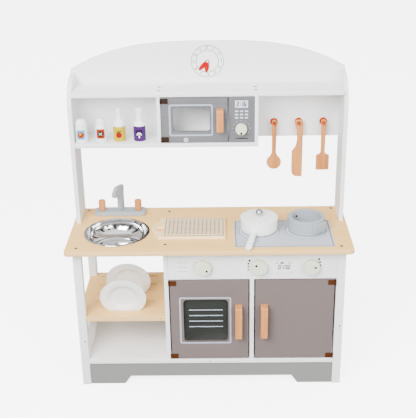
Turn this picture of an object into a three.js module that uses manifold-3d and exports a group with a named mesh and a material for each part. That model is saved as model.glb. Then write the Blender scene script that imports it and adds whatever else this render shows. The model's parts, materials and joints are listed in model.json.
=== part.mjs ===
// A wooden toy kitchen: a base cabinet with an oven, a cupboard and an open rack for dishes,
// and above it a box with a microwave, a shelf and hooks, under an arched back panel.
// Millimetres. +X to the right, -Y towards the child, +Z up.
// The origin is on the floor, under the middle of the worktop.
import * as THREE from "three";
import { mergeVertices } from "three/addons/utils/BufferGeometryUtils.js";
import Module from "manifold-3d";

const wasm = await Module();
wasm.setup();

// ---------------------------------------------------------------- driving dimensions
const WORKTOP = { width: 800, depth: 308, thickness: 12, top: 456, corner: 14 };
const BOARD = 12; // painted board of the carcass
const GAP = 0.3; // between pieces that touch
const EDGE = 0.8; // eased edge of the painted boards
const POST = 24; // square posts
const BASE = { halfWidth: 382, front: -119, rear: 154, backPanel: 6 };
const FLOOR_BOARD = { bottom: 73, thickness: 14 };
const DIVIDER = { left: -128.5, right: 114 }; // left faces of the two upright dividers
const FASCIA_BOTTOM = 352;
const DISH_SHELF = { top: 233.4, thickness: 16, left: -380 };
const SLOT = { width: 8, length: 176, x: -253, first: -81, pitch: 52, count: 5 };
const PLATE = { radius: 66.5, well: 46, depth: 11, wall: 2.4, lean: 13 };
const UPPER = { halfWidth: 391, front: 41, backPanel: 9, shoulder: 884 };
const BOX = { bottom: 690, floor: 702.6, ceiling: 837, top: 849 };
const PARTITION = { thickness: 10, left: -142, right: 131.7 }; // their left faces
const ARCH = { bottom: 685, end: 892, top: 969 };
const DOOR = { gap: 2.3, pinProud: 2.3, pinRadius: 2, leafWidth: 21, leafHeight: 15 };
const OVEN_WINDOW = { x0: -76, x1: 52, z0: 150, z1: 286, corner: 9 };
const MICROWAVE_WINDOW = { x0: -97, x1: 6, z0: 736, z1: 807, corner: 6 };
const HANDLE = { width: 20, reach: 28, foot: 14, bar: 11 };
const KNOB = { radius: 22.7, height: 16, z: 392.5, xs: [-17, 140, 286] };
const MICROWAVE_KNOB = { radius: 16, height: 15, x: 93.5, z: 744.5 };
const SINK = { x: -266, y: -20, rim: 94.8, hole: 91.5, bowl: 89.5, depth: 48, wall: 1.2 };
const TAP = { x: -268.5, y: 111, length: 151, depth: 43, thickness: 12, turned: 33 };
const PEG = { radius: 10.5, height: 32, spacing: 54 };
const HOOK = { xs: [191.5, 263, 334.5], z: 730, disc: 11.6, peg: 4.4, reach: 28 };
const UTENSIL = { hole: 5, thickness: 7, rear: 131 };
const CLOCK = { z: 911, hour: 36, minute: 33, blade: 6, thickness: 1.6 };
const CUTTING_BOARD = { x0: -145, x1: 47, y0: -76, y1: 55, thickness: 9, corner: 4 };
const PAN = { x: 143.3, y: -17, radius: 52.5, foot: 42, height: 40, wall: 3 };
const CASSEROLE = { x: 278.5, y: -13, radius: 52.4, height: 42, wall: 10.6 };

const WORKTOP_BOTTOM = WORKTOP.top - WORKTOP.thickness;
const FLOOR_TOP = FLOOR_BOARD.bottom + FLOOR_BOARD.thickness;
const POST_INNER = BASE.halfWidth - POST;
const UNDER_WORKTOP = WORKTOP_BOTTOM - GAP;
const ON_WORKTOP = WORKTOP.top + GAP;
const BOX_REAR = BASE.rear - UPPER.backPanel;
const SIDE_INNER = UPPER.halfWidth - BOARD;
const RADIANS = Math.PI / 180;

// ---------------------------------------------------------------- materials
function material(colour, roughness, metalness = 0) {
  return new THREE.MeshStandardMaterial({ color: colour, roughness, metalness });
}
const WHITE = material(0xeceded, 0.45);
const BIRCH = material(0xe4d0b6, 0.55);
const BEECH = material(0xdca57d, 0.5);
const DOOR_GREY = material(0xa29894, 0.45);
const MICROWAVE_GREY = material(0x9d9da1, 0.4);
const KICK_GREY = material(0xb3b3b1, 0.5);
const TAP_GREY = material(0xc3c7ca, 0.45);
const KNOB_CREAM = material(0xe1e4da, 0.45);
const STEEL = material(0xc8ccd0, 0.12, 1);
const BRONZE = material(0x84502c, 0.4, 0.8);
const CLEAR = material(0xdfe6ea, 0.08);
const ORANGE = material(0xf05514, 0.35);
const RED = material(0xfa140a, 0.35);
const PORCELAIN = material(0xefecea, 0.25);
const BOTTLE_WHITE = material(0xf0f0ef, 0.35);

const kitchen = new THREE.Group();

function add(name, geometry, look) {
  const mesh = new THREE.Mesh(geometry, look);
  mesh.name = name;
  kitchen.add(mesh);
  return mesh;
}

// ---------------------------------------------------------------- shapes and solids
// An outline of a rectangle whose corners are rounded by arcs.
function roundedRectangle(x0, x1, y0, y1, radius, Kind = THREE.Shape) {
  const path = new Kind();
  path.moveTo(x0 + radius, y0);
  path.lineTo(x1 - radius, y0);
  path.absarc(x1 - radius, y0 + radius, radius, -Math.PI / 2, 0);
  path.lineTo(x1, y1 - radius);
  path.absarc(x1 - radius, y1 - radius, radius, 0, Math.PI / 2);
  path.lineTo(x0 + radius, y1);
  path.absarc(x0 + radius, y1 - radius, radius, Math.PI / 2, Math.PI);
  path.lineTo(x0, y0 + radius);
  path.absarc(x0 + radius, y0 + radius, radius, Math.PI, 1.5 * Math.PI);
  return path;
}

function polygon(points) {
  return new THREE.Shape(points.map(([x, y]) => new THREE.Vector2(x, y)));
}

// Extrudes an outline by depth, easing the edges of its two faces by the bevel.
function extrude(shape, depth, bevel = 0, curveSegments = 4) {
  const geometry = new THREE.ExtrudeGeometry(shape, {
    depth: depth - 2 * bevel,
    bevelEnabled: bevel > 0,
    bevelThickness: bevel,
    bevelSize: bevel,
    bevelOffset: -bevel,
    bevelSegments: 1,
    curveSegments,
  });
  return geometry.translate(0, 0, bevel);
}

// Outlines drawn in the plane that a board's face lies in, and thickened along the third axis.
function extrudeZ(shape, z0, z1, bevel = 0, segments = 4) {
  return extrude(shape, z1 - z0, bevel, segments).translate(0, 0, z0);
}

function extrudeY(shape, y0, y1, bevel = 0, segments = 4) {
  return extrude(shape, y1 - y0, bevel, segments).rotateX(Math.PI / 2).translate(0, y1, 0);
}

function extrudeX(shape, x0, x1, bevel = 0, segments = 4) {
  const turn = new THREE.Matrix4().set(0, 0, 1, 0, 1, 0, 0, 0, 0, 1, 0, 0, 0, 0, 0, 1);
  return extrude(shape, x1 - x0, bevel, segments).applyMatrix4(turn).translate(x0, 0, 0);
}

// A board between two corners, with its twelve edges eased.
function boardGeometry([x0, y0, z0], [x1, y1, z1]) {
  const spans = [x1 - x0, y1 - y0, z1 - z0];
  const thin = spans.indexOf(Math.min(...spans));
  if (thin === 0) return extrudeX(roundedRectangle(y0, y1, z0, z1, EDGE), x0, x1, EDGE, 1);
  if (thin === 1) return extrudeY(roundedRectangle(x0, x1, z0, z1, EDGE), y0, y1, EDGE, 1);
  return extrudeZ(roundedRectangle(x0, x1, y0, y1, EDGE), z0, z1, EDGE, 1);
}

function board(name, low, high, look = WHITE) {
  return add(name, boardGeometry(low, high), look);
}

// A solid turned about the vertical axis; the profile is a list of [radius, height].
function turned(profile, segments = 24) {
  const points = profile.map(([r, h]) => new THREE.Vector2(r, h));
  return new THREE.LatheGeometry(points, segments).rotateX(Math.PI / 2);
}

// The same, with the axis pointing forward, towards -Y.
function turnedForward(profile, segments = 24) {
  return turned(profile, segments).rotateX(Math.PI / 2);
}

// Points of an arc in a profile, from one angle to another, in degrees.
function arc(centreR, centreH, radiusR, radiusH, from, to, steps) {
  return Array.from({ length: steps + 1 }, (_, i) => {
    const a = (from + ((to - from) * i) / steps) * RADIANS;
    return [centreR + radiusR * Math.cos(a), centreH + radiusH * Math.sin(a)];
  });
}

function solid(geometry) {
  const bare = geometry.index ? geometry.toNonIndexed() : geometry.clone();
  bare.deleteAttribute("normal");
  bare.deleteAttribute("uv");
  const merged = mergeVertices(bare, 1e-4);
  return new wasm.Manifold(
    new wasm.Mesh({
      numProp: 3,
      vertProperties: new Float32Array(merged.attributes.position.array),
      triVerts: new Uint32Array(merged.index.array),
    }),
  );
}

function geometryOf(manifold) {
  const mesh = manifold.getMesh();
  const geometry = new THREE.BufferGeometry();
  geometry.setAttribute("position", new THREE.BufferAttribute(mesh.vertProperties, 3));
  geometry.setIndex(new THREE.BufferAttribute(mesh.triVerts, 1));
  geometry.computeVertexNormals();
  return geometry;
}

function joined(...geometries) {
  return geometryOf(geometries.map(solid).reduce((whole, piece) => whole.add(piece)));
}

// ---------------------------------------------------------------- base cabinet
function makePosts() {
  const { halfWidth, front, rear } = BASE;
  board("front_post_left", [-halfWidth, front, 0], [-POST_INNER, front + POST, UNDER_WORKTOP]);
  board("rear_post_left", [-halfWidth, rear - POST, 0], [-POST_INNER, rear, UNDER_WORKTOP]);
  // The right front post and its side board are glued into one frame.
  const side = halfWidth - BOARD;
  const outline = polygon([
    [POST_INNER, front], [halfWidth, front], [halfWidth, rear],
    [side, rear], [side, front + POST], [POST_INNER, front + POST],
  ]);
  add("right_side_frame", extrudeZ(outline, 0, UNDER_WORKTOP, EDGE), WHITE);
}

function makeLowerBoards() {
  const { front, rear, backPanel } = BASE;
  const inside = POST_INNER - GAP;
  const back = rear - backPanel - GAP;
  board(
    "side_panel_left",
    [-POST_INNER - BOARD, front + POST + GAP, FLOOR_BOARD.bottom],
    [-POST_INNER, rear - POST - GAP, 166],
  );
  board("bottom_board", [-inside, front, FLOOR_BOARD.bottom], [inside, back, FLOOR_TOP]);
  board(
    "divider_left",
    [DIVIDER.left, front, FLOOR_TOP + GAP],
    [DIVIDER.left + BOARD, back, UNDER_WORKTOP],
  );
  // The right divider steps back behind the fascia.
  const step = polygon([
    [front, FLOOR_TOP + GAP], [back, FLOOR_TOP + GAP], [back, UNDER_WORKTOP],
    [front + BOARD + GAP, UNDER_WORKTOP], [front + BOARD + GAP, FASCIA_BOTTOM - GAP],
    [front, FASCIA_BOTTOM - GAP],
  ]);
  add("divider_right", extrudeX(step, DIVIDER.right, DIVIDER.right + BOARD, EDGE), WHITE);
  board(
    "control_fascia",
    [DIVIDER.left + BOARD + GAP, front, FASCIA_BOTTOM],
    [inside, front + BOARD, UNDER_WORKTOP],
  );
}

// The kick board stands a little behind the posts, cut away below to leave two feet.
function makeKickBoard() {
  const end = POST_INNER - GAP;
  const footInner = 256;
  const cutTop = 26;
  const cutInner = footInner - 18;
  const outline = polygon([
    [-end, 0], [-footInner, 0], [-cutInner, cutTop], [cutInner, cutTop],
    [footInner, 0], [end, 0], [end, FLOOR_BOARD.bottom - GAP], [-end, FLOOR_BOARD.bottom - GAP],
  ]);
  const front = BASE.front + 4;
  add("kick_board", extrudeY(outline, front, front + BOARD, EDGE), KICK_GREY);
}

// The back panel is low behind the open rack and full height behind the oven and the cupboard.
function makeLowerBackPanel() {
  const left = POST_INNER - GAP;
  const right = BASE.halfWidth - BOARD - GAP;
  const low = DISH_SHELF.top - DISH_SHELF.thickness - GAP;
  const outline = polygon([
    [-left, FLOOR_BOARD.bottom], [right, FLOOR_BOARD.bottom], [right, UNDER_WORKTOP],
    [DIVIDER.left, UNDER_WORKTOP], [DIVIDER.left, low], [-left, low],
  ]);
  const front = BASE.rear - BASE.backPanel;
  add("lower_back_panel", extrudeY(outline, front, BASE.rear, EDGE), WHITE);
}

// The dish shelf is notched round the two left posts and has five slots for plates.
function makeDishShelf() {
  const { front, rear } = BASE;
  const { left, top, thickness } = DISH_SHELF;
  const right = DIVIDER.left - GAP;
  const post = -POST_INNER + GAP;
  const shape = polygon([
    [post, front], [right, front], [right, rear], [post, rear],
    [post, rear - POST - GAP], [left, rear - POST - GAP],
    [left, front + POST + GAP], [post, front + POST + GAP],
  ]);
  for (let i = 0; i < SLOT.count; i++) {
    const y = SLOT.first + i * SLOT.pitch;
    const x0 = SLOT.x - SLOT.length / 2;
    const half = SLOT.width / 2;
    shape.holes.push(
      roundedRectangle(x0, x0 + SLOT.length, y - half, y + half, 2, THREE.Path),
    );
  }
  add("dish_shelf", extrudeZ(shape, top - thickness, top, EDGE, 1), BIRCH);
}

function makeWorktop() {
  const x = WORKTOP.width / 2;
  const y = WORKTOP.depth / 2;
  const shape = roundedRectangle(-x, x, -y, y, WORKTOP.corner);
  const hole = new THREE.Path();
  hole.absarc(SINK.x, SINK.y, SINK.hole, 0, 2 * Math.PI, true);
  shape.holes.push(hole);
  add("worktop", extrudeZ(shape, WORKTOP_BOTTOM, WORKTOP.top, 1.5, 9), BIRCH);
}

// ---------------------------------------------------------------- upper box
// The side boards rise from the worktop and round over at their top front corner.
function makeUpperSides() {
  const { front, halfWidth, shoulder } = UPPER;
  const rear = BOX_REAR - GAP;
  const shape = new THREE.Shape();
  shape.moveTo(front, ON_WORKTOP);
  shape.lineTo(rear, ON_WORKTOP);
  shape.lineTo(rear, shoulder);
  shape.bezierCurveTo(front + 34, shoulder - 2, front, shoulder - 34, front, shoulder - 86);
  add("upper_side_left", extrudeX(shape, -halfWidth, -SIDE_INNER, EDGE, 10), WHITE);
  add("upper_side_right", extrudeX(shape, SIDE_INNER, halfWidth, EDGE, 10), WHITE);
}

// The arched edge falls with the cube of the distance from the middle.
function makeUpperBackPanel() {
  const half = UPPER.halfWidth;
  const steps = 24;
  const edge = Array.from({ length: steps + 1 }, (_, i) => {
    const x = half - (2 * half * i) / steps;
    return [x, ARCH.top - (ARCH.top - ARCH.end) * Math.abs(x / half) ** 3];
  });
  const outline = polygon([[-half, ARCH.bottom], [half, ARCH.bottom], ...edge]);
  add("upper_back_panel", extrudeY(outline, BOX_REAR, BASE.rear, EDGE), WHITE);
}

function makeBoxBoards() {
  const front = UPPER.front;
  const rear = BOX_REAR - GAP;
  const inside = SIDE_INNER - GAP;
  const { thickness, left, right } = PARTITION;
  board("upper_top_board", [-inside, front, BOX.ceiling], [inside, rear, BOX.top]);
  board("upper_bottom_board", [-inside, front, BOX.bottom], [right + thickness, rear, BOX.floor]);
  for (const [name, x] of [["upper_partition_left", left], ["upper_partition_right", right]])
    board(name, [x, front, BOX.floor + GAP], [x + thickness, rear, BOX.ceiling - GAP]);
  board(
    "microwave_fascia",
    [59.5, front, BOX.floor + GAP],
    [right - GAP, front + BOARD, BOX.ceiling - GAP],
    MICROWAVE_GREY,
  );
}

// ---------------------------------------------------------------- doors
function doorPanel(name, [x0, x1], [z0, z1], front, look, opening) {
  const shape = roundedRectangle(x0, x1, z0, z1, 2);
  if (opening)
    shape.holes.push(
      roundedRectangle(opening.x0, opening.x1, opening.z0, opening.z1, opening.corner, THREE.Path),
    );
  add(name, extrudeY(shape, front, front + BOARD, EDGE, 3), look);
}

// A bridge handle: a bar on two feet, rounded at its outer corners.
function handle(name, x, z0, z1, front) {
  const { width, reach, foot, bar } = HANDLE;
  const inner = front - reach + bar;
  const outer = front - reach;
  const shape = new THREE.Shape();
  shape.moveTo(front - GAP, z0);
  shape.lineTo(front - GAP, z0 + foot);
  shape.lineTo(inner, z0 + foot);
  shape.lineTo(inner, z1 - foot);
  shape.lineTo(front - GAP, z1 - foot);
  shape.lineTo(front - GAP, z1);
  shape.lineTo(outer + 3, z1);
  shape.absarc(outer + 3, z1 - 3, 3, Math.PI / 2, Math.PI);
  shape.lineTo(outer, z0 + 3);
  shape.absarc(outer + 3, z0 + 3, 3, Math.PI, 1.5 * Math.PI);
  add(name, extrudeX(shape, x - width / 2, x + width / 2, EDGE, 3), BEECH);
}

// The leaf of a butt hinge on the front of a door, with the knuckle round its pin.
// side is +1 where the leaf lies to the right of the pin and -1 where it lies to the left.
function hinge(name, pinX, z0, front, side) {
  const z1 = z0 + DOOR.leafHeight;
  const pinY = front - DOOR.pinProud;
  const leafRear = front - GAP;
  const a = pinX + side * (DOOR.pinRadius - 0.6);
  const b = pinX + side * DOOR.leafWidth;
  const leaf = new THREE.BoxGeometry(Math.abs(b - a), 1.4, DOOR.leafHeight);
  leaf.translate((a + b) / 2, leafRear - 0.7, (z0 + z1) / 2);
  const knuckle = turned(
    [[0, z0], [DOOR.pinRadius, z0], [DOOR.pinRadius, z1], [0, z1]], 16,
  ).translate(pinX, pinY, 0);
  add(name, joined(leaf, knuckle), BRONZE);
}

function makeOvenDoor() {
  const x0 = DIVIDER.left + BOARD + DOOR.gap;
  const x1 = DIVIDER.right - DOOR.gap;
  const z0 = FLOOR_TOP + DOOR.gap;
  const z1 = FASCIA_BOTTOM - DOOR.gap;
  const pinX = x0 - 1.1;
  doorPanel("oven_door", [x0, x1], [z0, z1], BASE.front, DOOR_GREY, OVEN_WINDOW);
  const { x0: left, x1: right, z0: low, z1: high } = OVEN_WINDOW;
  const lap = 8;
  const pane = roundedRectangle(left - lap, right + lap, low - lap, high + lap, 3);
  const rear = BASE.front + BOARD + GAP;
  add("oven_window", extrudeY(pane, rear, rear + 2.5, 0, 2), CLEAR);
  handle("oven_handle", 82, 169.5, 270, BASE.front);
  hinge("oven_hinge_upper", pinX, z1 - 2 - DOOR.leafHeight, BASE.front, 1);
  hinge("oven_hinge_lower", pinX, z0 + 2, BASE.front, 1);
}

function makeCupboardDoor() {
  const x0 = DIVIDER.right + BOARD + DOOR.gap;
  const x1 = POST_INNER - DOOR.gap - 1;
  const z0 = FLOOR_TOP + DOOR.gap;
  const z1 = FASCIA_BOTTOM - DOOR.gap;
  const pinX = x1 + 1.1;
  doorPanel("cupboard_door", [x0, x1], [z0, z1], BASE.front, DOOR_GREY);
  handle("cupboard_handle", 155, 171.5, 271, BASE.front);
  hinge("cupboard_hinge_upper", pinX, z1 - 2 - DOOR.leafHeight, BASE.front, -1);
  hinge("cupboard_hinge_lower", pinX, z0 + 2, BASE.front, -1);
}

function makeMicrowaveDoor() {
  const x0 = PARTITION.left + PARTITION.thickness + DOOR.gap;
  const x1 = 57.2;
  const z0 = BOX.floor + 1.6;
  const z1 = BOX.ceiling - 1.6;
  const pinX = x0 - 1.1;
  doorPanel("microwave_door", [x0, x1], [z0, z1], UPPER.front, MICROWAVE_GREY, MICROWAVE_WINDOW);
  handle("microwave_handle", 34.5, 741, 803.5, UPPER.front);
  hinge("microwave_hinge_upper", pinX, z1 - 2 - DOOR.leafHeight, UPPER.front, 1);
  hinge("microwave_hinge_lower", pinX, z0 + 2, UPPER.front, 1);
}

// ---------------------------------------------------------------- knobs, clock and hooks
function knobGeometry(radius, height) {
  const ease = 2;
  return turnedForward([
    [0, GAP], [radius - 0.6, GAP], [radius, GAP + 0.6],
    [radius, height - ease], [radius - ease, height], [0, height],
  ], 28);
}

function makeKnobs() {
  const names = ["knob_left", "knob_middle", "knob_right"];
  KNOB.xs.forEach((x, i) => {
    add(names[i], knobGeometry(KNOB.radius, KNOB.height), KNOB_CREAM)
      .position.set(x, BASE.front, KNOB.z);
  });
  const { radius, height, x, z } = MICROWAVE_KNOB;
  add("microwave_knob", knobGeometry(radius, height), KNOB_CREAM)
    .position.set(x, UPPER.front, z);
}

// A clock hand, drawn pointing up: a round eye on the pin and a broad leaf-shaped blade.
function handGeometry(length, rear) {
  const shape = new THREE.Shape();
  const eye = 5;
  const spread = 35;
  const broadest = length * 0.6;
  shape.absarc(0, 0, eye, (90 + spread) * RADIANS, (450 - spread) * RADIANS);
  shape.lineTo(CLOCK.blade, broadest);
  shape.lineTo(0, length);
  shape.lineTo(-CLOCK.blade, broadest);
  return extrudeY(shape, rear - CLOCK.thickness, rear, 0, 10);
}

function makeClock() {
  const rear = BOX_REAR - GAP;
  const hour = add("hour_hand", handGeometry(CLOCK.hour, rear), RED);
  hour.position.z = CLOCK.z;
  hour.rotation.y = -136 * RADIANS;
  const next = rear - CLOCK.thickness - GAP;
  const minute = add("minute_hand", handGeometry(CLOCK.minute, next), RED);
  minute.position.z = CLOCK.z;
  minute.rotation.y = -174 * RADIANS;
}

function makeHooks() {
  const { disc, peg, reach } = HOOK;
  const profile = [
    [0, GAP], [disc, GAP], [disc, 2.2], [disc - 1, 3.2], [peg, 3.2],
    [peg, reach - peg], [peg * 0.75, reach - 1.4], [0, reach],
  ];
  ["hook_left", "hook_middle", "hook_right"].forEach((name, i) => {
    add(name, turnedForward(profile, 14), ORANGE)
      .position.set(HOOK.xs[i], BOX_REAR, HOOK.z);
  });
}

// ---------------------------------------------------------------- utensils
// Outlines are drawn with the hanging hole at the origin.
function utensil(name, shape, x) {
  const hole = new THREE.Path();
  hole.absarc(0, 0, UTENSIL.hole, 0, 2 * Math.PI, true);
  shape.holes.push(hole);
  const geometry = extrudeY(shape, UTENSIL.rear - UTENSIL.thickness, UTENSIL.rear, EDGE, 6);
  add(name, geometry, BEECH).position.set(x, 0, HOOK.z);
}

function makeSpoon() {
  const half = 7.2;
  const neck = 6;
  const bowl = 21.4;
  const centre = -119.5;
  const shape = new THREE.Shape();
  shape.absarc(0, 3, half, 0, Math.PI);
  shape.lineTo(-neck, -86);
  shape.quadraticCurveTo(-neck, -98, -bowl * Math.cos(0.62), centre + bowl * Math.sin(0.62));
  shape.absarc(0, centre, bowl, Math.PI - 0.62, 2 * Math.PI + 0.62);
  shape.quadraticCurveTo(neck, -98, neck, -86);
  utensil("spoon", shape, HOOK.xs[0]);
}

function makeKnife() {
  const shape = new THREE.Shape();
  shape.moveTo(12, 4);
  shape.quadraticCurveTo(11, 10, 4, 10);
  shape.lineTo(-4, 10);
  shape.bezierCurveTo(-11, 10, -13, 2, -9, -12);
  shape.bezierCurveTo(-5, -26, -2.6, -44, -6.5, -63);
  shape.quadraticCurveTo(-9, -74, -19.5, -86);
  shape.lineTo(-19.5, -145);
  shape.quadraticCurveTo(-18, -164, -5, -165);
  shape.lineTo(12, -165);
  utensil("kitchen_knife", shape, HOOK.xs[1]);
}

function makeSpatula() {
  const half = 7.2;
  const neck = 6;
  const blade = 19.3;
  const shape = new THREE.Shape();
  shape.absarc(0, 3, half, 0, Math.PI);
  shape.lineTo(-neck, -84);
  shape.quadraticCurveTo(-neck, -95, -blade + 6, -97);
  shape.quadraticCurveTo(-blade, -97.5, -blade, -104);
  shape.lineTo(-blade, -145);
  shape.lineTo(blade, -145);
  shape.lineTo(blade, -104);
  shape.quadraticCurveTo(blade, -97.5, blade - 6, -97);
  shape.quadraticCurveTo(neck, -95, neck, -84);
  utensil("spatula", shape, HOOK.xs[2]);
}

// ---------------------------------------------------------------- bottles
// Each is turned: body, shoulder, neck and cap, standing on the box's floor.
function bottle(name, x, y, radius, upperProfile) {
  const base = BOX.floor + GAP;
  const profile = [[0, 0], [radius - 2, 0], [radius, 2], ...upperProfile];
  add(name, turned(profile, 16), BOTTLE_WHITE).position.set(x, y, base);
}

function makeBottles() {
  bottle("shaker_domed", -359.3, 62, 16.2, [
    [16.2, 44], [15, 45], [15, 46], [16.4, 47], ...arc(0, 52, 16.4, 17.5, 0, 75, 4), [0, 69.5],
  ]);
  bottle("shaker_capped", -303.5, 62, 15.6, [
    [15.6, 46], [14, 49.5], [12.6, 50.5], [12.6, 64], [10.6, 68], [0, 69],
  ]);
  bottle("sauce_bottle", -252, 68, 17.6, [
    [17.6, 46], ...arc(5.6, 46, 12, 15, 15, 75, 3), [6.6, 74], [6, 84], [7.6, 84.6],
    [7.6, 96], [6.4, 97.5], [0, 97.5],
  ]);
  bottle("vinegar_bottle", -194.5, 68, 17.4, [
    [17.4, 46], ...arc(9.4, 46, 8, 8, 20, 70, 2), [9.2, 58], [8.8, 85], [10.2, 85.6],
    [10.2, 96], [9, 97.3], [0, 97.3],
  ]);
}

// ---------------------------------------------------------------- sink and tap
function makeSinkBowl() {
  const { rim, bowl, depth, wall } = SINK;
  const foot = 44;
  const profile = [
    [0, -depth], [foot, -depth],
    ...arc(foot, -depth + 42, bowl - foot, 42, -72, 0, 4), [bowl, GAP], [rim, GAP],
    [rim, GAP + 0.9], [bowl - 1, GAP + wall],
    ...arc(foot, -depth + 42, bowl - foot - wall, 42 - wall, 0, -72, 4),
    [foot, -depth + wall], [0, -depth + wall],
  ];
  add("sink_bowl", turned(profile, 36), STEEL).position.set(SINK.x, SINK.y, WORKTOP.top);
}

function makeTap() {
  const { x, y, length, depth, thickness, turned: angle } = TAP;
  const [halfX, halfY, cut] = [length / 2, depth / 2, 6];
  const outline = polygon([
    [-halfX + cut, -halfY], [halfX - cut, -halfY], [halfX, -halfY + cut], [halfX, halfY - cut],
    [halfX - cut, halfY], [-halfX + cut, halfY], [-halfX, halfY - cut], [-halfX, -halfY + cut],
  ]);
  const top = ON_WORKTOP + thickness;
  add("tap_base", extrudeZ(outline, ON_WORKTOP, top, EDGE), TAP_GREY).position.set(x, y, 0);

  // The spout is one cut-out board that swivels on the base; here its front points to -Y.
  const spout = polygon([
    [10, 0], [10, 60], [11.5, 66], [11, 79], [-20, 79], [-32, 63], [-34, 53],
    [-32.5, 49], [-20, 49], [-20, 45.5], [-14.5, 45.5], [-10, 40.5], [-10, 0],
  ]);
  const half = BOARD / 2;
  const spoutMesh = add("tap_spout", extrudeX(spout, -half, half, EDGE), TAP_GREY);
  spoutMesh.position.set(x + 2.5, y + 1, top + GAP);
  spoutMesh.rotation.z = -angle * RADIANS;

  const { radius, height, spacing } = PEG;
  const profile = [[0, 0], [radius, 0], [radius, height - 3], [radius - 2.5, height], [0, height]];
  for (const [name, side] of [["tap_peg_left", -1], ["tap_peg_right", 1]])
    add(name, turned(profile, 18), BEECH).position.set(x + side * spacing, y, top + GAP);
}

// ---------------------------------------------------------------- cookware and dishes
// The left end bulges out round a D-shaped finger hole.
function makeCuttingBoard() {
  const { x0, x1, y0, y1, thickness, corner: r } = CUTTING_BOARD;
  const nose = x0 - 20;
  const shape = new THREE.Shape();
  shape.moveTo(x0, y1);
  shape.lineTo(x0, 30);
  shape.bezierCurveTo(x0 - 9, 21, nose, 8, nose, -12);
  shape.bezierCurveTo(nose, -34, x0 - 4, -58, x0 + 1, y0);
  shape.lineTo(x1 - r, y0);
  shape.absarc(x1 - r, y0 + r, r, -Math.PI / 2, 0);
  shape.lineTo(x1, y1 - r);
  shape.absarc(x1 - r, y1 - r, r, 0, Math.PI / 2);
  const hole = new THREE.Path();
  hole.moveTo(-130, -38);
  hole.bezierCurveTo(-143, -38, -151, -31, -151, -21);
  hole.bezierCurveTo(-151, -11, -143, -4, -130, -4);
  shape.holes.push(hole);
  add("cutting_board", extrudeZ(shape, ON_WORKTOP, ON_WORKTOP + thickness, EDGE, 5), BIRCH);
}

function makeSaucepan() {
  const { x, y, radius, foot, height, wall } = PAN;
  const body = turned([
    [0, 0], [foot, 0], ...arc(foot, 14, radius - foot, 14, -65, 0, 4), [radius, height],
    [radius - wall, height], ...arc(foot, 14, radius - foot - wall, 14 - wall, 0, -65, 4),
    [foot, wall], [0, wall],
  ], 28);
  // A flat handle with a round end leaves the wall beside the middle of the pan,
  // and dips a little towards the worktop.
  const reach = 139.8;
  const half = 9.5;
  const aside = 5.7;
  const outline = new THREE.Shape();
  outline.moveTo(-7, -radius + 2);
  outline.lineTo(-half, -reach + half);
  outline.absarc(0, -reach + half, half, Math.PI, 2 * Math.PI);
  outline.lineTo(7, -radius + 2);
  const handleBar = extrudeZ(outline, -4.5, 4.5, EDGE, 4)
    .translate(0, radius, 0)
    .rotateX(5.5 * RADIANS)
    .translate(0, -radius, 14)
    .rotateZ(-12.5 * RADIANS)
    .translate(-aside, 0, 0);
  add("saucepan", joined(body, handleBar), PORCELAIN).position.set(x, y, ON_WORKTOP);

  const flange = radius + 1.5;
  const lid = turned([
    [0, 0], [radius - wall - 1, 0], [flange, 0], [flange, 2.5], [flange - 4, 3.8],
    [16, 5], [6, 5.2], [6, 5.6], ...arc(0, 14.5, 10.8, 10.8, -55, 75, 5), [0, 25.3],
  ], 24);
  add("saucepan_lid", lid, PORCELAIN).position.set(x, y, ON_WORKTOP + height + GAP);
}

// A thick-walled pot with two flat blocks for ears.
function makeCasserole() {
  const { x, y, radius, height, wall } = CASSEROLE;
  const floor = 6;
  const body = turned([
    [0, 0], [radius - 3, 0], [radius, 3], [radius, height - 1], [radius - 1, height],
    [radius - wall + 1, height], [radius - wall, height - 1], [radius - wall, floor], [0, floor],
  ], 28);
  const ears = [-51, 129].map((angle) => {
    const ear = roundedRectangle(radius - 8, radius + 5.6, -22, 22, 2);
    return extrudeZ(ear, 9, height - 7, EDGE, 3).rotateZ(angle * RADIANS);
  });
  add("casserole", joined(body, ...ears), TAP_GREY).position.set(x, y, ON_WORKTOP);
}

// A plate stands on edge in a slot: its flat rim passes down into the slot, and its well rests
// against the slot's rear edge, so the plate leans towards the front.
function makePlates() {
  const { radius, well, depth, wall, lean } = PLATE;
  const base = well - 12;
  const profile = [
    [0, -depth], [base, -depth], [well, 0], [radius, 0], [radius, wall],
    [well - 1.2, wall], [base - 1, -depth + wall], [0, -depth + wall],
  ];
  const height = DISH_SHELF.top + (well + 1.6) * Math.cos(lean * RADIANS);
  const forward = (well + 1.6) * Math.sin(lean * RADIANS);
  const places = [["plate_front", -250.5, 0], ["plate_rear", -245.5, 2]];
  for (const [name, x, slot] of places) {
    const plate = add(name, turned(profile, 32).rotateX(Math.PI / 2), PORCELAIN);
    plate.position.set(x, SLOT.first + slot * SLOT.pitch - forward, height);
    plate.rotation.x = lean * RADIANS;
  }
}

makePosts();
makeLowerBoards();
makeKickBoard();
makeLowerBackPanel();
makeDishShelf();
makeWorktop();
makeUpperSides();
makeUpperBackPanel();
makeBoxBoards();
makeOvenDoor();
makeCupboardDoor();
makeMicrowaveDoor();
makeKnobs();
makeClock();
makeHooks();
makeSpoon();
makeKnife();
makeSpatula();
makeBottles();
makeSinkBowl();
makeTap();
makeCuttingBoard();
makeSaucepan();
makeCasserole();
makePlates();

export default kitchen;
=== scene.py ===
# %% [markdown]
# # A wooden toy kitchen
# The measured model gives every board, door and knob its place. This script keeps the boards
# whose shape is right, makes the other pieces again as smooth surfaces, and gives each a finish
# of shader nodes. Lengths are in millimetres until they go into a mesh, in metres.

# %% Load the measured model
import json
from math import cos, pi, radians, sin

import bmesh
import bpy
import numpy as np
from mathutils import Matrix, Vector
from mathutils.geometry import tessellate_polygon


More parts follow.
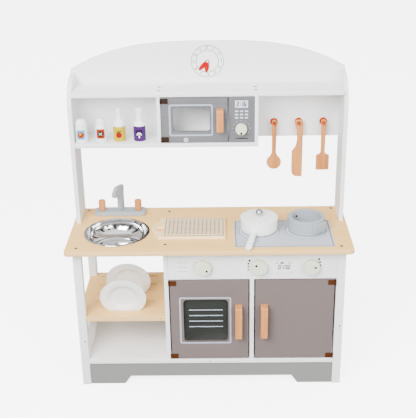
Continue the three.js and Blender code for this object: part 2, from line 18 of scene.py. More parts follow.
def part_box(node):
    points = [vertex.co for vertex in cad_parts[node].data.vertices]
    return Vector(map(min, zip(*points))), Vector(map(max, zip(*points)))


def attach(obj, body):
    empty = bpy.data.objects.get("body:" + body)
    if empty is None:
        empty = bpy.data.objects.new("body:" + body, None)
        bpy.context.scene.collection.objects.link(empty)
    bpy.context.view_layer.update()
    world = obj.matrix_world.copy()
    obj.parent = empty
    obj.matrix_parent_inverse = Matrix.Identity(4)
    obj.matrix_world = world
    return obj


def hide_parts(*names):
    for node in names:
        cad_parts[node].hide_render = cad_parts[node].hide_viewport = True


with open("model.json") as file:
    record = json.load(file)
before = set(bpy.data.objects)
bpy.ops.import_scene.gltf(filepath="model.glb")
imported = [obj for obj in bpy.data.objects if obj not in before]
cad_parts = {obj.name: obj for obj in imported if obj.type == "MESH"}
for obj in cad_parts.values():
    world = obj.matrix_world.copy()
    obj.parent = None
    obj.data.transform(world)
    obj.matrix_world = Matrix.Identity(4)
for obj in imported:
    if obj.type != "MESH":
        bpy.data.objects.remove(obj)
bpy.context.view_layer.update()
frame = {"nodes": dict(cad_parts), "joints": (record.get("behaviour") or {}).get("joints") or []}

MM = 0.001

# %% [markdown]
# ## The camera
# The camera looks down from two and a quarter metres away. Its three axes are worked out from a
# yaw, a pitch and a slight roll.

# %% The camera
def show(item):
    bpy.context.scene.collection.objects.link(item)


camera = bpy.data.objects.new("camera", bpy.data.cameras.new("camera"))
camera.data.lens = 74.33
camera.data.sensor_width = 36.0
yaw, pitch, roll = 0.0191, -0.4143, -0.0176
ahead = Vector((-sin(yaw) * cos(pitch), cos(yaw) * cos(pitch), sin(pitch)))
level = Vector((cos(yaw), sin(yaw), 0))
upright = level.cross(ahead)
right = level * cos(roll) + upright * sin(roll)
up = upright * cos(roll) - level * sin(roll)
camera.matrix_world = Matrix((right, up, -ahead)).transposed().to_4x4()
camera.matrix_world.translation = Vector((0.0406, -2.2648, 1.5128))
show(camera)
bpy.context.scene.camera = camera
print("camera at", tuple(round(c, 3) for c in camera.location))

# %% [markdown]
# ## The light
# A white studio has a pale surround, one large soft lamp high on the left and a weaker one on the
# right. Twelve dark flags stand round it, and only glossy surfaces reflect them, as streaks.

# %% Surround, lamps and floor
world = bpy.data.worlds.new("studio")
world.use_nodes = True
nodes, links = world.node_tree.nodes, world.node_tree.links
KINDS = ("TexCoord", "SeparateXYZ", "MapRange", "ValToRGB")
sky, height, spread, shade = [nodes.new("ShaderNode" + kind) for kind in KINDS]
spread.inputs["From Min"].default_value = -1.0
SKY = ((0.0, 0.35), (0.45, 0.3), (0.56, 0.1), (0.68, 0.25), (0.8, 0.75), (1.0, 1.0))
stops = shade.color_ramp.elements
for stop, grey in ((stops[0], SKY[0][1]), (stops[1], SKY[-1][1])):
    stop.color = (grey, grey, grey, 1)
for place, grey in SKY[1:-1]:
    stops.new(place).color = (grey, grey, grey, 1)
links.new(sky.outputs["Generated"], height.inputs["Vector"])
links.new(height.outputs["Z"], spread.inputs["Value"])
links.new(spread.outputs["Result"], shade.inputs["Fac"])
links.new(shade.outputs["Color"], nodes["Background"].inputs["Color"])
nodes["Background"].inputs["Strength"].default_value = 2.6
bpy.context.scene.world = world


def lamp(name, place, target, size, power):
    light = bpy.data.lights.new(name, "AREA")
    light.size, light.energy = size, power
    holder = bpy.data.objects.new(name, light)
    holder.location = place
    aim = Vector(target) - Vector(place)
    holder.rotation_euler = aim.to_track_quat("-Z", "Y").to_euler()
    show(holder)


lamp("key_lamp", (-1.1, -2.3, 2.2), (0, 0, 0.5), 1.6, 208)
lamp("fill_lamp", (1.7, -2.4, 1.3), (0, 0, 0.5), 1.6, 80)


def studio_piece(name, corners, grey, glow=0.0):
    """A piece of the studio: four corners for each face, and a plain grey that may glow."""
    corners = np.asarray(corners, float)
    mesh = bpy.data.meshes.new(name)
    faces = np.arange(4 * len(corners)).reshape(-1, 4).tolist()
    mesh.from_pydata(corners.reshape(-1, 3).tolist(), [], faces)
    look = bpy.data.materials.new(name)
    look.use_nodes = True
    shader = look.node_tree.nodes["Principled BSDF"].inputs
    shader["Base Color"].default_value = (grey, grey, grey, 1)
    shader["Roughness"].default_value = 0.7
    shader["Emission Color"].default_value = (1, 1, 1, 1)
    shader["Emission Strength"].default_value = glow
    mesh.materials.append(look)
    item = bpy.data.objects.new(name, mesh)
    show(item)
    return item


floor = studio_piece("studio_floor", [[(-9, -9, 0), (9, -9, 0), (9, 9, 0), (-9, 9, 0)]], 0.93, 4.5)
floor.visible_diffuse = floor.visible_glossy = False

turns = np.radians(np.arange(12) * 30 + 8)[:, None]
sides = turns + np.radians([[-6, 6, 6, -6]])
flags = np.stack((2.9 * np.cos(sides), 2.9 * np.sin(sides), np.tile([0.5, 0.5, 3.6, 3.6], (12, 1))), -1)
flag = studio_piece("studio_flags", flags, 0.01)
flag.visible_camera = flag.visible_diffuse = flag.visible_shadow = flag.visible_transmission = False
print("studio ready")

# %% [markdown]
# ## Writing finishes as sums
# A finish is a small tree of shader nodes. `Varying` wraps a node's output, and its operators add
# Math nodes, so a pattern reads as a formula. `Finish.node` makes any other node from its
# settings and the values or links of its sockets.

# %% Varying numbers and finishes
def colour(rgb):
    return (*np.clip(rgb, 0, 1), 1.0)


class Varying:
    """A shader value that changes over the surface. Working with it adds Math nodes."""

    def __init__(self, tree, socket):
        self.tree, self.socket = tree, socket

    def maths(operation, reflected=False):
        """A method that adds one Math node. Reflected, as in 1 - mask, it takes itself last."""
        def method(self, *others):
            node = self.tree.nodes.new("ShaderNodeMath")
            node.operation = operation
            for socket, value in zip(node.inputs, (*others, self) if reflected else (self, *others)):
                put(self.tree, socket, value)
            return Varying(self.tree, node.outputs[0])
        return method

    __add__ = __radd__ = maths("ADD")
    __mul__ = __rmul__ = maths("MULTIPLY")
    __sub__, __rsub__ = maths("SUBTRACT"), maths("SUBTRACT", reflected=True)
    __gt__, __lt__, __abs__ = maths("GREATER_THAN"), maths("LESS_THAN"), maths("ABSOLUTE")


def put(tree, socket, value):
    if isinstance(value, Varying):
        tree.links.new(value.socket, socket)
    else:
        socket.default_value = value


class Finish:
    """A procedural material: one Principled shader, and the nodes that feed its sockets."""

    def __init__(self, name, base, roughness, **constants):
        self.material = bpy.data.materials.new(name)
        self.material.use_nodes = True
        self.tree = self.material.node_tree
        self.shader = self.tree.nodes["Principled BSDF"]
        self.base, self.roughness = np.asarray(base), roughness
        constants = {"Base_Color": colour(base), "Roughness": roughness, **constants}
        for socket, value in constants.items():
            self.shader.inputs[socket.replace("_", " ")].default_value = value
        self.place = self.node("ShaderNodeTexCoord", output="Object")

    def node(self, kind, settings=None, sockets=None, output=0):
        node = self.tree.nodes.new(kind)
        for name, value in (settings or {}).items():
            setattr(node, name, value)
        for name, value in (sockets or {}).items():
            put(self.tree, node.inputs[name], value)
        return Varying(self.tree, node.outputs[output])

    def noise(self, cycles, detail=2.0, distortion=0.0):
        """Noise with its own number of cycles per metre along X, Y and Z."""
        spread = self.node("ShaderNodeMapping", {}, {"Vector": self.place, "Scale": cycles})
        sockets = {"Vector": spread, "Scale": 1.0, "Detail": detail, "Distortion": distortion}
        return self.node("ShaderNodeTexNoise", {}, sockets)

    def along(self, axis):
        """The X, Y or Z coordinate of the surface, in metres."""
        return self.node("ShaderNodeSeparateXYZ", {}, {"Vector": self.place}, axis)

    def facing(self, axis):
        """How far the surface faces along an axis, from 0 to 1."""
        normal = self.node("ShaderNodeNewGeometry", output="Normal")
        return abs(self.node("ShaderNodeSeparateXYZ", {}, {"Vector": normal}, axis))

    def between(self, factor, first, second):
        """The colour that goes from first to second as the factor goes from 0 to 1."""
        ends = [value if isinstance(value, Varying) else colour(value) for value in (first, second)]
        sockets = {0: factor, 6: ends[0], 7: ends[1]}
        return self.node("ShaderNodeMix", {"data_type": "RGBA"}, sockets, 2)

    def feed(self, name, value):
        self.tree.links.new(value.socket, self.shader.inputs[name])

    def drift(self, factor, share):
        """Base colour from (1 - share) to (1 + share) of the finish's own, as the factor rises."""
        self.feed("Base Color", self.between(factor, self.base * (1 - share), self.base * (1 + share)))

    def gloss(self, factor, share):
        """Roughness that spreads by a share round the finish's own."""
        self.feed("Roughness", factor * share + max(self.roughness - share / 2, 0.02))

    def relief(self, height, depth):
        sockets = {"Strength": 1.0, "Distance": depth, "Height": height}
        self.feed("Normal", self.node("ShaderNodeBump", {}, sockets))

    def worked(self, slow, share, fine, spread, height, depth):
        """Tone, gloss and relief in one go, each from a noise and its amount."""
        self.drift(slow, share)
        self.gloss(fine, spread)
        self.relief(height, depth)
        return self.material


print("Varying and Finish are ready")

# %% [markdown]
# ## Painted board
# The white carcass is fibreboard with satin paint. A slow noise lets its tone drift, and a fine
# one gives gloss and relief to the stipple that the roller leaves.

# %% Paints
def painted(name, base, roughness=0.45, drift=0.03, stipple=0.00003, **constants):
    finish = Finish(name, base, roughness, **{"Specular_IOR_Level": 0.3, **constants})
    slow = finish.noise((7, 7, 7), 3)
    fine = finish.noise((650, 650, 650), 1)
    return finish.worked(slow, drift, fine, 0.12, fine, stipple)


white_paint = painted("white_paint", (0.865, 0.87, 0.88))
kick_paint = painted("kick_board_paint", (0.205, 0.204, 0.194))
tap_paint = painted("tap_paint", (0.31, 0.34, 0.365), 0.5)
knob_paint = painted("knob_paint", (0.68, 0.76, 0.56), 0.4)
print("paints:", [m.name for m in (white_paint, kick_paint, tap_paint, knob_paint)])

# %% [markdown]
# ## Film on the doors
# The lower doors wear a warm grey film like linen, and the microwave a cool grey one brushed from
# side to side like steel. Both are noise stretched along the threads.

# %% Films
def filmed(name, base, threads, depth, contrast, roughness=0.42):
    """Streaks: each entry of threads is the cycles per metre along X, Y and Z of one set."""
    finish = Finish(name, base, roughness, Specular_IOR_Level=0.25)
    weave = finish.noise(threads[0], 2)
    for cycles in threads[1:]:
        weave = weave * 0.5 + finish.noise(cycles, 2) * 0.5
    slow = finish.noise((6, 6, 6), 2)
    return finish.worked(weave * 0.75 + slow * 0.25, contrast, weave, 0.2, weave, depth)


door_film = filmed("door_film", (0.148, 0.118, 0.113), [(900, 900, 60), (60, 900, 900)], 0.00004, 0.2)
microwave_film = filmed("microwave_film", (0.145, 0.144, 0.158), [(12, 500, 1100)], 0.00003, 0.3, 0.34)
print("films:", door_film.name, microwave_film.name)

# %% [markdown]
# ## Birch and beech
# Worktop, shelf and cutting board are pale birch, handles and utensils beech. Wood is noise
# stretched along the fibres: wandering growth bands, fine fibres, and the short dark flecks of
# the rays. Birch edges have a tone of their own.

# %% Woods
def wooden(name, pale, dark, grain, flecks, edge=None, edge_axis="Z", roughness=0.5):
    """grain is the axis of the fibres; edge is the tone of faces that don't face edge_axis."""

    def stretched(along, across):
        return tuple(along if axis == grain else across for axis in "XYZ")

    finish = Finish(name, pale, roughness, Specular_IOR_Level=0.25)
    bands = finish.noise(stretched(3, 60), 3, 0.8)
    fibres = finish.noise(stretched(18, 950), 2)
    growth = bands * 0.65 + fibres * 0.35
    surface = finish.between(growth * 1.6 - 0.3, pale, dark)
    rays = finish.noise(stretched(260, 1300), 1) > 0.665
    surface = finish.between(rays * flecks, surface, np.asarray(dark) * 0.6)
    if edge is not None:
        surface = finish.between(finish.facing(edge_axis) < 0.6, surface, edge)
    finish.feed("Base Color", surface)
    finish.gloss(fibres, 0.2)
    finish.relief(fibres * 0.6 + bands * 0.4, 0.00008)
    return finish.material


birch = wooden("birch", (0.88, 0.56, 0.2), (0.76, 0.44, 0.14), "X", 0.12, (0.8, 0.52, 0.22))
light_birch = wooden("light_birch", (0.9, 0.66, 0.34), (0.82, 0.56, 0.26), "X", 0.12, (0.92, 0.72, 0.42))
beech = wooden("beech", (0.8, 0.35, 0.11), (0.34, 0.105, 0.024), "Z", 0.5)
print("woods:", birch.name, beech.name)

# %% [markdown]
# ## Metals and plastics
# The sink bowl is steel with the fine rings of its spinning, the hinges are plated brown, and the
# lid's knob is chrome. Hooks, hands, plates and bottles are smooth apart from a faint unevenness.

# %% Metals and plastics
def metallic(name, base, roughness, wear, cycles=(300, 300, 300), depth=0.00002):
    finish = Finish(name, base, roughness, Metallic=1.0)
    worn = finish.noise(cycles, 3)
    return finish.worked(worn, wear, worn, 0.16, worn, depth)


def moulded(name, base, roughness=0.28, **constants):
    finish = Finish(name, base, roughness, Specular_IOR_Level=0.2, **constants)
    slow = finish.noise((45, 45, 45), 2)
    fine = finish.noise((800, 800, 800), 1)
    return finish.worked(slow, 0.03, fine, 0.1, slow * 0.8 + fine * 0.2, 0.00006)


steel = metallic("polished_steel", (0.6, 0.6, 0.6), 0.1, 0.04, (60, 60, 1400), 0.00001)
bronze = metallic("bronze_plating", (0.19, 0.062, 0.022), 0.42, 0.35)
dark_bronze = metallic("dark_bronze_plating", (0.07, 0.042, 0.03), 0.42, 0.35)
screw_black = painted("screw_black", (0.02, 0.019, 0.018), 0.5)
chrome = metallic("chrome", (0.5, 0.51, 0.53), 0.08, 0.02)
orange_plastic = moulded("orange_plastic", (0.42, 0.05, 0.0015))
red_plastic = moulded("red_plastic", (0.36, 0.0015, 0.0003))
porcelain = moulded("white_plastic", (0.9, 0.9, 0.9), 0.3)
smoky = Finish("smoky_pane_painted_shade", (0.03, 0.033, 0.028), 0.12, Specular_IOR_Level=0.2)
# Painted shade: the pane's opacity rises with height, so it is darker towards the top and lets more of the inside
# show near its foot.
PANE_FOOT, PAINTED_SHADE_AT_FOOT, PER_METRE = 0.165, 0.5, 3.4
smoky.feed("Alpha", smoky.along(2) * PER_METRE + (PAINTED_SHADE_AT_FOOT - PANE_FOOT * PER_METRE))
smoky.gloss(smoky.noise((400, 400, 400), 2), 0.06)
pane = smoky.material
pane.surface_render_method = "BLENDED"
print("metals and plastics are ready")

# %% [markdown]
# ## Inks
# Each ink is flat matt paint with a fine grain in its gloss. Strong colours are deep ones, because
# a bright lamp bleaches a pale one.

# %% Inks
INKS = {
    "silver": (0.36, 0.41, 0.5), "pale": (0.6, 0.66, 0.76), "line": (0.015, 0.015, 0.018),
    "black": (0.006, 0.006, 0.006), "white": (0.8, 0.82, 0.82), "orange": (0.3, 0.028, 0.001),
    "sky": (0.06, 0.36, 0.75), "yellow": (0.55, 0.38, 0.0), "red": (0.26, 0.0015, 0.0005),
    "green": (0.012, 0.09, 0.006), "lilac": (0.055, 0.012, 0.11), "violet": (0.012, 0.003, 0.03),
    "grey": (0.2, 0.21, 0.23), "foil": (0.42, 0.44, 0.49),
}
inks = {name: painted("ink_" + name, rgb, 0.55, 0.02, 0.00001, Specular_IOR_Level=0.2)
        for name, rgb in INKS.items()}
print(len(inks), "inks")

# %% [markdown]
# ## Surfaces from arrays
# Every new shape is a grid of points computed with whole arrays. `skin` joins a grid into faces,
# `profile_turned` spins a profile round an axis, and `slab` thickens an outline and rounds its rims.

# %% Grids, profiles and slabs
def skin(points, around=False):
    """Quads between neighbours of a grid (rows, columns, 3); around also joins its last column."""
    rows, columns = points.shape[:2]
    index = np.arange(rows * columns).reshape(rows, columns)
    if around:
        index = np.hstack((index, index[:, :1]))
    corners = (index[:-1, :-1], index[:-1, 1:], index[1:, 1:], index[1:, :-1])
    return points.reshape(-1, 3), np.stack(corners, -1).reshape(-1, 4).tolist()


def eased(profile, radius, steps=4, closed=False):
    """Rounds corners, by one radius or one each: (1-t)^2 A + 2t(1-t) corner + t^2 B."""
    profile = np.asarray(profile, float)
    before, after = np.roll(profile, 1, 0) - profile, np.roll(profile, -1, 0) - profile
    lengths = [np.maximum(np.linalg.norm(side, axis=1, keepdims=True), 1e-9) for side in (before, after)]
    reach = np.minimum(np.reshape(radius, (-1, 1)), 0.45 * np.minimum(*lengths))
    start, end = profile + before / lengths[0] * reach, profile + after / lengths[1] * reach
    t = np.linspace(0, 1, steps + 1)[None, :, None]
    curve = (1 - t) ** 2 * start[:, None] + 2 * t * (1 - t) * profile[:, None] + t**2 * end[:, None]
    if closed:
        return curve.reshape(-1, 2)
    return np.vstack((profile[:1], curve[1:-1].reshape(-1, 2), profile[-1:]))


def arc(centre, radii, start, stop, steps=16):
    """Points of an ellipse from one angle to another, in degrees."""
    a = np.radians(np.linspace(start, stop, steps + 1))
    return np.column_stack((centre[0] + radii[0] * np.cos(a), centre[1] + radii[1] * np.sin(a)))


def curve(*controls, steps=14):
    """A Bezier curve through any number of control points, by repeated blending."""
    t = np.linspace(0, 1, steps + 1)[:, None]
    rows = [np.broadcast_to(np.asarray(c, float), (steps + 1, 2)) for c in controls]
    while len(rows) > 1:
        rows = [a * (1 - t) + b * t for a, b in zip(rows, rows[1:])]
    return rows[0]


def profile_turned(profile, centre, axis="Z", around=64):
    """(r, h) at angle a goes to (r cos a, r sin a, h), or for axis Y to (r cos a, -h, r sin a)."""
    r, h = np.asarray(profile, float).T[:, :, None]
    a = np.linspace(0, 2 * pi, around, endpoint=False)[None]
    x, side, rise = r * np.cos(a), r * np.sin(a), h + 0 * a
    points = np.stack((x, side, rise) if axis == "Z" else (x, -rise, side), -1)
    return skin(points + np.asarray(centre, float), True)


def slab(loops, low, high, rim, axis, steps=4):
    """An outline with holes, thick from low to high along an axis, with rims rounded by rim.
    Row s of each wall is moved inwards by rim (1 - sin s) and in depth by rim (1 - cos s)."""
    s = np.linspace(0, pi / 2, steps + 1)
    inset = np.concatenate((rim * (1 - np.sin(s)), rim * (1 - np.sin(s))[::-1]))
    level = np.concatenate((low + rim * (1 - np.cos(s)), (high - rim * (1 - np.cos(s)))[::-1]))
    points, faces, rings = [], [], []
    for number, loop in enumerate(loops):
        loop = np.asarray(loop, float)
        following = np.roll(loop, -1, 0)
        area = np.sum(loop[:, 0] * following[:, 1] - following[:, 0] * loop[:, 1])
        if (area > 0) == (number > 0):
            loop = loop[::-1]
        side = np.roll(loop, -1, 0) - loop
        normal = np.column_stack((-side[:, 1], side[:, 0]))
        normal /= np.maximum(np.linalg.norm(normal, axis=1, keepdims=True), 1e-9)
        mitre = normal + np.roll(normal, 1, 0)
        mitre /= np.maximum(np.sum(mitre * mitre, 1, keepdims=True) / 2, 0.3)
        flat = loop[None] + mitre[None] * inset[:, None, None]
        depth = np.broadcast_to(level[:, None, None], (len(level), len(loop), 1))
        grid = oriented(np.concatenate((flat, depth), 2), axis)
        first = sum(len(p) for p in points)
        wall, quads = skin(grid, True)
        points.append(wall)
        faces += (np.array(quads) + first).tolist()
        rings.append((first, flat))
    for row in (0, -1):
        corners = [[Vector((x, y, 0)) for x, y in flat[row]] for _, flat in rings]
        numbers = np.concatenate([first + np.arange(flat.shape[1]) + (row % len(level)) * flat.shape[1]
                                  for first, flat in rings])
        faces += [[int(numbers[i]) for i in face] for face in tessellate_polygon(corners)]
    return np.vstack(points), faces


def oriented(points, axis):
    """Puts outline coordinates and depth, in that order, along the model's axes."""
    return points[..., {"Z": (0, 1, 2), "X": (2, 0, 1), "Y": (0, 2, 1)}[axis]]


def bars(rows, low, high, axis):
    """Thin closed strips for prints: each row is (x0, x1, y0, y1), and all share one thickness."""
    rows = np.asarray(rows, float)
    flat = rows[:, [[0, 2], [1, 2], [1, 3], [0, 3]]]
    depths = np.array([low, high])[None, :, None, None] + np.zeros((len(rows), 2, 4, 1))
    corners = np.concatenate((np.repeat(flat[:, None], 2, 1), depths), 3).reshape(-1, 3)
    sides = [(0, 1, 2, 3), (4, 5, 6, 7), (0, 1, 5, 4), (1, 2, 6, 5), (2, 3, 7, 6), (3, 0, 4, 7)]
    faces = np.arange(len(rows))[:, None, None] * 8 + np.array(sides)
    return oriented(corners, axis), faces.reshape(-1, 4).tolist()


def frame_bars(x0, x1, y0, y1, width):
    return [(x0, x1, y1 - width, y1), (x0, x1, y0, y0 + width),
            (x0, x0 + width, y0 + width, y1 - width), (x1 - width, x1, y0 + width, y1 - width)]


def mark(loops, low, high, axis):
    """A printed patch of any outline, as thick as a coat of ink."""
    return slab(loops, low, high, 0.02, axis, 1)


def ellipse(x, y, a, b, power=2.0, turn=0.0, steps=48):
    """x = a |cos|^(2/power), y = b |sin|^(2/power), with their signs: power 2 is an ellipse."""
    t = np.linspace(0, 2 * pi, steps, endpoint=False)
    u = a * np.sign(np.cos(t)) * np.abs(np.cos(t)) ** (2 / power)
    v = b * np.sign(np.sin(t)) * np.abs(np.sin(t)) ** (2 / power)
    c, s = cos(radians(turn)), sin(radians(turn))
    return np.column_stack((x + c * u - s * v, y + s * u + c * v))


def mirrored(side):
    """The same points on the other side, in the opposite order."""
    return (side * (-1, 1))[::-1]


def turned_about(shape, centre, axis, degrees, shift=(0, 0, 0)):
    """Turns a shape about an axis through a centre, and then moves it."""
    points, faces = shape
    turn = np.array(Matrix.Rotation(radians(degrees), 3, axis))
    return (points - centre) @ turn.T + centre + shift, faces


print("rounded corner test:", eased([(0, 0), (10, 0), (10, 10)], 2).shape)

# %% [markdown]
# ## Putting a piece in place
# A piece may have several shapes with a material each. Faces are turned outwards and edges
# sharper than an angle stay crisp. Then the piece is tied to its body, and the solids that it
# stands for are hidden.

# %% Make a piece
made = []
CRISP = 40


def piece(name, shapes, body, stands_for=()):
    """shapes is a list of ((points, faces), material), in millimetres."""
    mesh = bpy.data.meshes.new(name)
    points = np.vstack([shape[0] for shape, _ in shapes]) * MM
    starts = np.cumsum([0] + [len(shape[0]) for shape, _ in shapes])
    faces, looks, palette = [], [], []
    for (shape, look), start in zip(shapes, starts):
        if look not in palette:
            palette.append(look)
        faces += [[i + int(start) for i in face] for face in shape[1]]
        looks += [palette.index(look)] * len(shape[1])
    mesh.from_pydata(points.tolist(), [], faces)
    for look in palette:
        mesh.materials.append(look)
    mesh.polygons.foreach_set("material_index", looks)
    grown = bmesh.new()
    grown.from_mesh(mesh)
    bmesh.ops.remove_doubles(grown, verts=grown.verts, dist=2e-6)
    bmesh.ops.recalc_face_normals(grown, faces=grown.faces)
    grown.to_mesh(mesh)
    grown.free()
    mesh.shade_smooth()
    mesh.set_sharp_from_angle(angle=radians(CRISP))
    item = bpy.data.objects.new(name, mesh)
    show(item)
    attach(item, body)
    if stands_for:
        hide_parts(*stands_for)
    made.append(name)


def stand_in(node, shapes, body):
    piece(node + "_finished", shapes, body, [node])


def box(node):
    """The corners of a measured node, in millimetres."""
    return [np.array(corner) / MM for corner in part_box(node)]


def centre(node):
    return sum(box(node)) / 2


def rectangle(x0, x1, y0, y1, radius=0.0, steps=6):
    corners = [(x0, y0), (x1, y0), (x1, y1), (x0, y1)]
    return eased(corners, radius, steps, closed=True) if radius else np.array(corners, float)


print("worktop box:", [c.round(1).tolist() for c in box("worktop")])

# %% [markdown]
# ## Boards
# Each plain board is an outline of its two longer sides, thickened along the third, with edges
# rounded by about a millimetre.

# %% Plain boards
WHITE_BOARDS = (
    "front_post_left", "rear_post_left", "side_panel_left", "bottom_board", "divider_left",
    "control_fascia", "upper_top_board", "upper_bottom_board", "upper_partition_left",
    "upper_partition_right",
)


def board(node, look, rim=1.1):
    low, high = box(node)
    thin = int(np.argmin(high - low))
    a, b = [i for i in range(3) if i != thin]
    outline = rectangle(low[a], high[a], low[b], high[b], rim, 4)
    shape = slab([outline], low[thin], high[thin], rim, "XYZ"[thin])
    stand_in(node, [(shape, look)], "cabinet")


for node in WHITE_BOARDS:
    board(node, white_paint)
board("microwave_fascia", microwave_film)
print(len(made), "boards")

# %% [markdown]
# ## Back panel, worktop and doors
# The back panel's top edge is an arch that falls with the cube of the distance from the middle.
# The worktop has a round hole for the sink. The doors are slabs, two of them with a window, and
# are planed a millimetre narrower than their openings, so that a dark line shows down each side.

# %% Arched back panel
panel_low, panel_high = box("upper_back_panel")
half = panel_high[0]
ARCH_END = 892.0
across = np.linspace(half, -half, 97)
arched = panel_high[2] - (panel_high[2] - ARCH_END) * np.abs(across / half) ** 3
outline = np.vstack(([[-half, panel_low[2]], [half, panel_low[2]]], np.column_stack((across, arched))))
arch = slab([outline], panel_low[1], panel_high[1], 1.1, "Y")
stand_in("upper_back_panel", [(arch, white_paint)], "cabinet")

# %% Worktop with its sink hole
top_low, top_high = box("worktop")
sink_low, sink_high = box("sink_bowl")
sink = (sink_low + sink_high) / 2
sink_rim = (sink_high[0] - sink_low[0]) / 2
hole_radius = sink_rim - 3.3
WORKTOP_CORNER = 14.0
quarter = [arc((sx * (top_high[0] - WORKTOP_CORNER), sy * (top_high[1] - WORKTOP_CORNER)),
               (WORKTOP_CORNER,) * 2, start, start + 90, 10)
           for sx, sy, start in ((1, -1, -90), (1, 1, 0), (-1, 1, 90), (-1, -1, 180))]
hole = ellipse(*sink[:2], hole_radius, hole_radius, steps=96)
worktop = slab([np.vstack(quarter), hole], top_low[2], top_high[2], 1.6, "Z")
stand_in("worktop", [(worktop, birch)], "cabinet")

# %% Doors
SIDE_GAP, TOP_GAP = 1.3, 0.5


def door(node, look, body, window=None, window_radius=9):
    low, high = box(node)
    loops = [rectangle(low[0] + SIDE_GAP, high[0] - SIDE_GAP, low[2] + TOP_GAP, high[2] - TOP_GAP, 2.2, 5)]
    if window:
        loops.append(rectangle(*window, window_radius, 8))
    stand_in(node, [(slab(loops, low[1], high[1], 1.1, "Y"), look)], body)


PANE_LAP = 8.0
pane_low, pane_high = box("oven_window")
oven_window = (pane_low[0] + PANE_LAP, pane_high[0] - PANE_LAP, pane_low[2] + 2.5, pane_high[2] - PANE_LAP)
micro_low, micro_high = box("microwave_door")
microwave_window = (micro_low[0] + 32.7, micro_high[0] - 51.2, micro_low[2] + 31.8, micro_high[2] - 28.4)
door("oven_door", door_film, "oven_door", oven_window, 14)
door("cupboard_door", door_film, "cupboard_door")
door("microwave_door", microwave_film, "microwave_door", microwave_window, 9)
oven_pane = slab([rectangle(pane_low[0], pane_high[0], pane_low[2], pane_high[2], 4)],
                 pane_low[1], pane_high[1], 0.4, "Y")
piece("oven_window_pane", [(oven_pane, pane)], "oven_door", ["oven_window"])
print("windows:", np.round(oven_window, 1), np.round(microwave_window, 1))

# %% [markdown]
# ## Handles
# A door handle is a beech bar on two feet, sawn from one piece, with every edge rounded.

# %% Handles
FOOT, BAR = 14.0, 11.0


def handle(node, body):
    low, high = box(node)
    outer, rear = low[1], high[1]
    outline = [(rear, low[2]), (outer, low[2]), (outer, high[2]), (rear, high[2]),
               (rear, high[2] - FOOT), (outer + BAR, high[2] - FOOT),
               (outer + BAR, low[2] + FOOT), (rear, low[2] + FOOT)]
    radii = [0.4, 4, 4, 0.4, 0.4, 3, 3, 0.4]
    shape = slab([eased(outline, radii, 6, closed=True)], low[0], high[0], 1.5, "X", 5)
    stand_in(node, [(shape, beech)], body)


HINGED = ("oven", "cupboard", "microwave")
for name in HINGED:
    handle(name + "_handle", name + "_door")
print("handles made")

# %% [markdown]
# ## Knobs
# Each knob is a short turned cylinder with a soft front edge, a shallow hollow in its face and a
# printed black dot that shows where it points.

# %% Knobs
def knob(node, dot, body):
    low, high = box(node)
    x, _, z = (low + high) / 2
    radius, height = (high[0] - low[0]) / 2, high[1] - low[1]
    outline = [(0, 0), (radius, 0), (radius, height), (0, height - 0.2)]
    body_shape = profile_turned(eased(outline, 2.6, 7), (x, high[1], z), "Y", 72)
    mark = profile_turned([(0, 0.28), (3.4, 0.28), (3.6, 0)], (x + dot[0], low[1] + 0.2, z + dot[1]), "Y", 24)
    shapes = [(body_shape, knob_paint), (mark, inks["black"])]
    stand_in(node, shapes, body)


knob("knob_left", (10.0, -7.3), "knob_left")
knob("knob_middle", (-8.4, 8.6), "knob_middle")
knob("knob_right", (10.3, 1.6), "knob_right")
knob("microwave_knob", (0.0, -11.0), "microwave_knob")
print("knobs made")

# %% [markdown]
# ## Clock hands
# The hands are red plastic leaves on one pin, with a white cap over it.

# %% Clock hands
def hand(node, degrees, length, broad=6.0, eye=5.0):
    low, high = box(node)
    blade = curve((eye * 0.85, 2.5), (broad * 1.25, length * 0.45), (broad, length * 0.8), (0.5, length), steps=16)
    outline = np.vstack((blade, mirrored(blade), arc((0, 0), (eye, eye), 150, 390, 24)))
    shape = slab([outline], low[1], high[1], 0.35, "Y", 3)
    pin = np.array((0, 0, CLOCK_HEIGHT))
    placed = (shape[0] + pin, shape[1])
    shapes = [(turned_about(placed, pin, "Y", -degrees), red_plastic)]
    if node == "minute_hand":
        cap = profile_turned(eased([(0, 0), (3, 0), (3, 1.2), (0, 1.6)], 0.6), (0, low[1], CLOCK_HEIGHT), "Y", 32)
        shapes.append((cap, white_paint))
    stand_in(node, shapes, node)


CLOCK_HEIGHT = 911.0
hand("hour_hand", 136, 36)
hand("minute_hand", 174, 33)
print("hands made")

# %% [markdown]
# ## Hooks
# Three orange hooks carry the utensils: a raised disc against the back panel, and a straight peg
# with a round end.

# %% Hooks
for node in ("hook_left", "hook_middle", "hook_right"):
    low, high = box(node)
    x, z = centre(node)[0], (low[2] + high[2]) / 2
    disc, reach = (high[0] - low[0]) / 2, high[1] - low[1]
    profile = [(0, 0), (disc, 0), (disc, 3), (disc - 3, 3), (disc - 3.6, 1.9), (4.3, 1.9), (4.3, reach), (0, reach)]
    radii = [0, 0.4, 1, 0.5, 0.5, 0.5, 3.4, 0]
    shape = profile_turned(eased(profile, radii, 6), (x, high[1], z), "Y", 48)
    stand_in(node, [(shape, orange_plastic)], "cabinet")
print("hooks made")

# %% [markdown]
# ## Utensils
# Spoon, knife and spatula are cut from 7 mm beech with a jigsaw and rounded over. Each outline is
# a line of curves drawn from its hanging hole.

